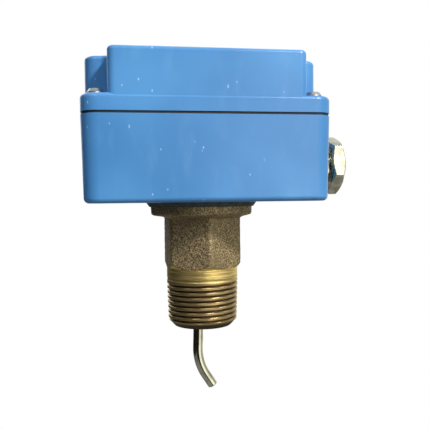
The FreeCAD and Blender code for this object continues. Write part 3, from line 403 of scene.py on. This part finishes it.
def smaller(a, b, softness):
    """Soft minimum: the two values meet in a small curve in place of a crease."""
    gap = np.clip((softness - np.abs(a - b)) / softness, 0, 1)
    return np.minimum(a, b) - gap * gap * softness / 4


def lumps(points, size, seed):
    """Smooth random lumps in space: each corner of a lattice of a given cell size has a random height
    from -1 to 1, and between corners the eight heights are mixed with smooth weights."""
    table = np.random.default_rng(seed).uniform(-1, 1, (32, 32, 32))
    scaled = points / size
    cell = np.floor(scaled).astype(int)
    part = scaled - cell
    part = part * part * (3 - 2 * part)
    total = np.zeros(points.shape[:-1])
    for corner in np.ndindex(2, 2, 2):
        weight = np.prod(np.where(np.array(corner), part, 1 - part), axis=-1)
        spot = (cell + np.array(corner)) % 32
        total += weight * table[spot[..., 0], spot[..., 1], spot[..., 2]]
    return total


# %% [markdown]
# ## The bronze body
# On the real switch this is one casting: flange, hexagon, turned neck and a taper pipe thread, bored
# through for the lever. Every height has a single radius in each direction, so the whole outside is one
# function of angle and height. The thread is a true helix: its depth depends on height less a share of
# the pitch for each turn. The sand's grain is real relief on the flange and the hexagon.

# %% Sizes of the bronze body, in millimetres
casting_low, casting_high = (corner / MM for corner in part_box("body_casting"))
FLANGE_RADIUS = casting_high.x
FLANGE_THICKNESS, FLANGE_EDGE, FLANGE_FLARE = 4.2, 1.6, 1.8
FLANGE_UNDER = casting_high.z - FLANGE_THICKNESS
HEX_FLATS, HEX_TURN, HEX_CORNER = 33.5, 34.5, 19.0
HEX_CHAMFER_RISE = 2.7
NECK_RADIUS, NECK_LENGTH = 17.0, 5.8
THREAD_END = casting_low.z
THREAD_END_RADIUS, THREAD_CHAMFER = 16.3, 2.8
PITCH = 25.4 / 11
THREAD_DEPTH, THREAD_CREST, THREAD_FLANK = 1.0, 0.42, 0.86
THREAD_START_RADIUS = NECK_RADIUS - 0.1
TAPER = (THREAD_START_RADIUS - THREAD_END_RADIUS) / (-NECK_LENGTH - THREAD_END - THREAD_CHAMFER)
BORE_RADIUS, BORE_TOP, THROAT_RADIUS = 11.2, THREAD_END + 48.0, 8.0
COLUMNS = 384


# %% Outside of the body as one function of angle and height
def bronze_outside(height):
    """Radius at each height and angle, and there how turned and how tarnished the metal is, and how deep in a
    recess, for painted shade.
    The hexagon is the smaller of its flats and a widening cone, and flares cubically into the flange.
    The thread is a cone less a groove, whose depth follows the phase: height over pitch less the share
    of a turn. The groove is deepest in the middle of the phase, and fades in below the neck."""
    angle = np.linspace(0, 2 * np.pi, COLUMNS, endpoint=False)[None, :]
    level = height[:, None]
    hexagon = hex_radius(HEX_FLATS, HEX_TURN, COLUMNS, HEX_CORNER)[None, :]
    slope = (HEX_CORNER - HEX_FLATS / 2 + 0.35) / HEX_CHAMFER_RISE
    nut = smaller(hexagon, HEX_FLATS / 2 + 0.1 + slope * np.maximum(level, 0), 0.5)
    milled = np.clip((hexagon - nut - 0.1) / 0.3, 0, 1)
    flare = np.clip((level - FLANGE_UNDER) / FLANGE_FLARE + 1, 0, 1) ** 3
    nut = nut + (FLANGE_RADIUS - FLANGE_EDGE - nut) * flare
    edge = np.clip(1 - (level - FLANGE_UNDER) / FLANGE_EDGE, 0, 1)
    flange = FLANGE_RADIUS - FLANGE_EDGE * (1 - np.sqrt(1 - edge * edge)) + 0 * angle
    undercut = np.exp(-(((level + NECK_LENGTH - 0.5) / 0.3) ** 2))
    neck = NECK_RADIUS - 0.15 - 0.35 * undercut + 0 * angle
    cone = THREAD_START_RADIUS + TAPER * (level + NECK_LENGTH)
    phase = (level / PITCH - angle / (2 * np.pi)) % 1.0
    away = np.clip((np.abs(phase - 0.5) * 2 - THREAD_CREST) / (THREAD_FLANK - THREAD_CREST), 0, 1)
    groove = THREAD_DEPTH * away * away * (3 - 2 * away)
    run_out = np.clip((-NECK_LENGTH - level) / (0.8 * PITCH), 0, 1)
    chamfer = THREAD_END_RADIUS - THREAD_CHAMFER + (level - THREAD_END) * 0.95
    threaded = smaller(cone - groove * run_out, chamfer, 0.3)
    lathe = np.where(level >= -NECK_LENGTH, neck, threaded)
    radius = np.where(level >= FLANGE_UNDER, flange, np.where(level >= 0, nut, lathe))
    turned = np.where(level < -0.02, 1.0, milled * (level < HEX_CHAMFER_RISE + 1))
    below = level < -NECK_LENGTH
    root = np.clip((cone - threaded) / THREAD_DEPTH * 1.1 - 0.15, 0, 0.9) * below
    # painted shade: darker in the thread's roots and in the neck's undercut
    recess_shade = root + 0.5 * undercut * (level < 0)
    return radius, {"turned": turned, "tarnish": 0.85 * below + 0 * angle, "recess_shade": recess_shade}


def bronze_body():
    """Outside rows from the thread's end up to the flange's top, then the bore's rows back down. On cast
    metal the radius gains sand grains of 0.7 and 1.4 mm and a slow unevenness of 5 mm."""
    thread = np.linspace(THREAD_END, -NECK_LENGTH, 116)
    neck = np.linspace(-NECK_LENGTH, -0.03, 10)[1:]
    flats = np.linspace(0.0, FLANGE_UNDER - 0.001, 74)
    flange = np.linspace(FLANGE_UNDER, FLANGE_UNDER + FLANGE_THICKNESS, 15)
    height = np.concatenate([thread, neck, flats, flange])
    radius, marks = bronze_outside(height)
    points = round_table(height, radius, COLUMNS)
    cast = (1 - marks["turned"]) * (height < height[-1] - 0.01)[:, None]
    sand = 0.10 * lumps(points, 0.7, 1) + 0.06 * lumps(points, 1.4, 2)
    relief = sand + 0.06 * lumps(points, 5.0, 3) - 0.06
    outward = points[..., :2] / np.linalg.norm(points[..., :2], axis=-1, keepdims=True)
    points[..., :2] += outward * (relief * cast)[..., None]
    top, end, wide = casting_high.z, THREAD_END, BORE_RADIUS
    bore_heights = np.array([top, top, BORE_TOP, BORE_TOP, BORE_TOP - 0.05, -10.0, end + 0.6, end])
    throat = [THROAT_RADIUS + 0.3, THROAT_RADIUS, THROAT_RADIUS]
    bore_radii = np.array(throat + [wide, wide, wide, wide, wide + 0.5])
    inside = round_table(bore_heights, bore_radii, COLUMNS)
    # the bore is browned as tarnish and half darkened by painted shade
    in_bore = {"turned": 1.0, "tarnish": 1.0, "recess_shade": 0.5}
    attributes = {name: np.concatenate([values, np.full((len(bore_heights), COLUMNS), in_bore[name])])
                  for name, values in marks.items()}
    piece = grid_piece("bronze_body", np.concatenate([points, inside]), "case", "cast_bronze",
                       attributes=attributes)
    sharpen(piece, 50)
    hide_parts("body_casting")
    return piece


bronze_body()

# %% [markdown]
# ## The bellows
# A bellows is rolled from thin tube, so its folds are smooth waves, not the sharp steps of a drawing. Its
# skin is made here as a closed ring, outside wave and inside wave.


# %% Bellows with rolled folds
def rolled_bellows():
    """Radius goes from valley to crest and back with half of one less the cosine of the height, once a
    fold. The inside is the same wave one skin further in."""
    low, high = (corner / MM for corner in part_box("bellows"))
    centre, folds, skin, fold_depth, rows_a_fold, columns = (low + high) / 2, 6, 0.35, 2.5, 12, 96
    crest, valley = high.y, high.y - fold_depth
    height = np.linspace(low.z, high.z, rows_a_fold * folds + 1)
    wave = 0.5 - 0.5 * np.cos(2 * np.pi * folds * (height - low.z) / (high.z - low.z))
    radius = valley + (crest - valley) * wave
    heights = np.concatenate([height, height[::-1]])
    radii = np.concatenate([radius, radius[::-1] - skin])
    points = round_table(heights, radii, columns)
    points[..., 0] += centre.x
    piece = grid_piece("rolled_bellows", points, None, "bellows_bronze")
    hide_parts("bellows")
    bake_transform(piece)
    return piece


rolled_bellows()

# %% [markdown]
# ## The range spring
# The spring is a helix of round wire with its end turns closed up, so that it seats flat. The coil's
# height climbs slowly at both ends and quickly between, which is one smooth function of the turn. Both
# ends move: the rocker lifts the lower one and the nut carries the upper one. So the wire is cut at half
# height, where it stays still.


# %% Range spring as a wire swept along a closed-end helix
def range_spring():
    """The wire's middle goes round at the coil's radius, and climbs one wire's width over each closed
    end and the rest of the height between. A circle of the wire's radius is carried along it, across
    the line's own direction."""
    low, high = (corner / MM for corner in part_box("range_spring"))
    wire, turns, closed, rows_a_turn, sides = 0.45, 6.5, 0.8, 36, 12
    middle = (low + high) / 2
    coil = (high.x - low.x) / 2 - wire
    share = np.linspace(0, 1, int(turns * rows_a_turn) + 1)
    turned = share * turns
    end_rise = wire * 2.02 * closed
    open_rise = high.z - low.z - 2 * wire - 2 * end_rise
    rise = open_rise * np.clip((turned - closed) / (turns - 2 * closed), 0, 1)
    rise += end_rise * (np.clip(turned / closed, 0, 1) + np.clip((turned - turns + closed) / closed, 0, 1))
    angle = 2 * np.pi * turned
    outward = np.stack([np.cos(angle), np.sin(angle), 0 * angle], axis=-1)
    centre = outward * coil + np.array([middle.x, middle.y, low.z + wire])
    centre[:, 2] += rise
    along = np.gradient(centre, axis=0)
    along /= np.linalg.norm(along, axis=1, keepdims=True)
    side = np.cross(along, outward)
    around = np.linspace(0, 2 * np.pi, sides, endpoint=False)[None, :, None]
    points = centre[:, None] + wire * (np.cos(around) * outward[:, None] + np.sin(around) * side[:, None])
    half = len(share) // 2
    lower = grid_piece("lower_coils", points[: half + 1, ::-1], "case", "spring_steel", wrap_rows=False)
    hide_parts("range_spring")
    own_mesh(lower)
    upper = grid_piece("upper_coils", points[half:, ::-1], None, "spring_steel", wrap_rows=False)
    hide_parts("range_spring")
    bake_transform(upper)
    return lower, upper


range_spring()

# %% [markdown]
# ## The gland's cap nut
# The gland is nickel-plated brass. Its hexagons are turned first and milled after, so a cone cuts each
# corner and leaves a curved edge on every flat. The radius at each place along the axis is the smaller
# of the hexagon and that cone. The cap ends in a rounded lip round the cable's mouth.


# %% Cap nut along +X
def along_x(points, centre):
    """Turn a piece made about Z so that it lies along +X with its axis through a centre."""
    across, up, ahead = points[..., 0], points[..., 1], points[..., 2]
    return np.stack([ahead + centre[0], -up + centre[1], across + centre[2]], axis=-1)


def hexagon_run(start, end, flats, corner, turn, columns, bevel):
    """Heights and radii of a hexagon whose two ends are cut by cones of 30 degrees: the smaller of the
    hexagon's radius and a radius that grows with the distance from the nearer end."""
    height = np.concatenate([np.linspace(start, start + bevel, 7), np.linspace(end - bevel, end, 7)])
    from_end = np.minimum(height - start, end - height)[:, None]
    cone = flats / 2 - 0.15 + from_end / math.tan(math.radians(30))
    return height, smaller(hex_radius(flats, turn, columns, corner)[None, :], cone, 0.25)


def gland_cap():
    """Rows go out along the hexagon, round the lip on a quarter circle, and back in through the mouth
    and the threaded hollow."""
    low, high = (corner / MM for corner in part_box("gland_cap_nut"))
    columns, flats, corner, turn, bevel = 240, 25.0, 14.3, 52.0, 1.3
    lip, lip_length, rounding, mouth, thread, web = 9.8, 1.6, 1.2, 5.2, 8.05, 1.6
    length = high.x - low.x
    hex_end = length - lip_length
    height, radius = hexagon_run(0.0, hex_end, flats, corner, turn, columns, bevel)
    quarter = np.linspace(0, np.pi / 2, 9)[:, None]
    lip_height = length - rounding * (1 - np.sin(quarter[:, 0]))
    lip_radius = lip - rounding * (1 - np.cos(quarter))
    inner_heights = np.array([length, length - web * 0.75, length - web, length - web, 0.6, 0.0])
    inner_radii = np.array([mouth + 0.6, mouth, mouth, thread, thread, thread + 0.5])[:, None]
    heights = np.concatenate([height, [hex_end + 0.02], lip_height, inner_heights])
    rings = np.concatenate([[[lip]], lip_radius, inner_radii]) + np.zeros((1, columns))
    table = round_table(heights, np.concatenate([radius, rings]), columns)
    points = along_x(table, (low.x, (low.y + high.y) / 2, (low.z + high.z) / 2))
    piece = grid_piece("cap_nut_chamfered", points[:, ::-1], "cap_nut", "nickel_brass")
    sharpen(piece, 35)
    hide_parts("gland_cap_nut")
    return piece


gland_cap()

# %% [markdown]
# ## Stage and light
# The object hangs in the air as it would from a hand, so the floor lies well below it. The floor and the
# backdrop show white to the eye, but the light that they give the object is plain grey. A key light stands
# in front and high on the right, so that the case shades the upper half of the hexagon, and a weaker panel
# fills from the left. What metal mirrors is a room: a bright window wall on the right, a dark left, and a
# pale wall behind. That gives round metal its bright stripe and its dark side, and rounded enamel edges
# their thin pale line. One world could light and be mirrored alike, but the metal would then look flat.


# %% Floor, room and lamps
def stage_floor():
    """Matt grey square that the camera sees as plain white."""
    made, tree, shader = material("pale_floor", Roughness=0.9)
    shader.inputs["Base Color"].default_value = linear("#9A9A98")
    seen = add(tree, "ShaderNodeLightPath").outputs["Is Camera Ray"]
    glow = add(tree, "ShaderNodeEmission", {"Color": linear("#FFFFFF"), "Strength": 1.0}).outputs[0]
    mixed = add(tree, "ShaderNodeMixShader", {0: seen, 1: shader.outputs[0], 2: glow}).outputs[0]
    output = next(n for n in tree.nodes if n.type == "OUTPUT_MATERIAL")
    tree.links.new(mixed, output.inputs["Surface"])
    mesh = bpy.data.meshes.new("floor")
    reach, level = 1.5, cad_box[0][2] - 0.6
    corners = [(x * reach, y * reach, level) for x, y in ((-1, -1), (1, -1), (1, 1), (-1, 1))]
    mesh.from_pydata(corners, [], [(0, 1, 2, 3)])
    mesh.materials.append(made)
    floor = bpy.data.objects.new("floor", mesh)
    bpy.context.scene.collection.objects.link(floor)


def room():
    """World that is white to the camera, soft grey as light, and a window wall in a darker room as seen
    in a mirror. Each part is a smooth step of the direction's own axes."""
    world = bpy.data.worlds.new("studio_room")
    bpy.context.scene.world = world
    world.use_nodes = True
    tree = world.node_tree
    tree.nodes.clear()
    direction = add(tree, "ShaderNodeTexCoord").outputs["Generated"]
    axes = add(tree, "ShaderNodeSeparateXYZ", {0: direction}).outputs
    to_right, overhead = spread(tree, -0.6, 0.5, axes["X"]), spread(tree, 0.0, 0.9, axes["Z"])
    sides = blend_colour(tree, to_right, "#484B4F", "#74777A")
    soft = blend_colour(tree, overhead, sides, "#85898D")
    window = blend_colour(tree, spread(tree, 0.16, 0.32, axes["X"]), "#161615", "#F0F0E4")
    walls = blend_colour(tree, spread(tree, 0.7, 0.95, axes["X"]), window, "#8E8E86")
    behind, not_left = spread(tree, 0.5, 0.9, axes["Y"]), spread(tree, -0.4, 0.0, axes["X"])
    back_wall = add(tree, "ShaderNodeMath", {0: behind, 1: not_left}, operation="MULTIPLY").outputs[0]
    walls = blend_colour(tree, back_wall, walls, "#DCDCD6")
    mirrored = blend_colour(tree, overhead, walls, "#A9ACAD")
    rays = add(tree, "ShaderNodeLightPath").outputs
    light = blend_colour(tree, rays["Is Glossy Ray"], soft, mirrored)
    white = blend_colour(tree, rays["Is Camera Ray"], light, "#FFFFFF")
    plain, window_strength = 1.0, 1.4
    by_ray = {0: rays["Is Glossy Ray"], 3: plain, 4: window_strength}
    strength = add(tree, "ShaderNodeMapRange", by_ray).outputs[0]
    background = add(tree, "ShaderNodeBackground", {"Color": white, "Strength": strength}).outputs[0]
    output = add(tree, "ShaderNodeOutputWorld")
    tree.links.new(background, output.inputs["Surface"])


def lamp(name, energy, size, place, aim, colour="#FFFFFF"):
    """Square softbox of a size in metres and a power in watts at a place, pointed at a target."""
    light = bpy.data.lights.new(name, "AREA")
    light.energy, light.size, light.color = energy, size, linear(colour)[:3]
    holder = bpy.data.objects.new(name, light)
    holder.location = place
    holder.rotation_euler = (Vector(aim) - Vector(place)).to_track_quat("-Z", "Y").to_euler()
    bpy.context.scene.collection.objects.link(holder)


stage_floor()
room()
lamp("key", 14.6, 0.12, (0.56, -0.74, 0.80), (0, 0, 0.03), "#FFF8EE")
lamp("front_panel", 1.2, 0.45, (0.35, -1.0, 0.12), (0, 0, 0.0))
lamp("left_panel", 2.4, 0.35, (-0.42, -0.72, 0.68), (0, 0, 0.03))
lamp("top_strip", 1.0, 0.6, (0.05, 0.35, 0.95), (0, 0, 0.06))
lamp("back_fill", 4.0, 0.9, (-0.4, 1.0, 0.5), (0, 0, 0.03))


# %% [markdown]
# ## The camera
# The eye is 275 mm in front of the thread's axis and 36 mm to its left, level with the underside of the
# case, and looks slightly down. It stands between the two ends of the case, so that neither end shows.


# %% Camera to the left of the front
def set_camera(place_mm, yaw, pitch, roll, lens_mm):
    """Camera at a place, turned right by yaw and up by pitch and leant by roll, in degrees."""
    camera = bpy.data.cameras.new("camera")
    camera.sensor_width, camera.lens = 36.0, lens_mm
    yaw, pitch, roll = (math.radians(a) for a in (yaw, pitch, roll))
    ahead = Vector((math.sin(yaw) * math.cos(pitch), math.cos(yaw) * math.cos(pitch), math.sin(pitch)))
    right = Vector((math.cos(yaw), -math.sin(yaw), 0))
    up = right.cross(ahead)
    leant_right = right * math.cos(roll) + up * math.sin(roll)
    leant_up = up * math.cos(roll) - right * math.sin(roll)
    turn = Matrix((leant_right, leant_up, -ahead)).transposed()
    holder = bpy.data.objects.new("camera", camera)
    holder.matrix_world = Matrix.Translation(Vector(place_mm) * MM) @ turn.to_4x4()
    bpy.context.scene.collection.objects.link(holder)
    bpy.context.scene.camera = holder


set_camera((-35.62, -274.56, 33.5), yaw=8.73, pitch=-1.86, roll=-0.65, lens_mm=48.4158)
bpy.context.scene.view_settings.view_transform = "Standard"
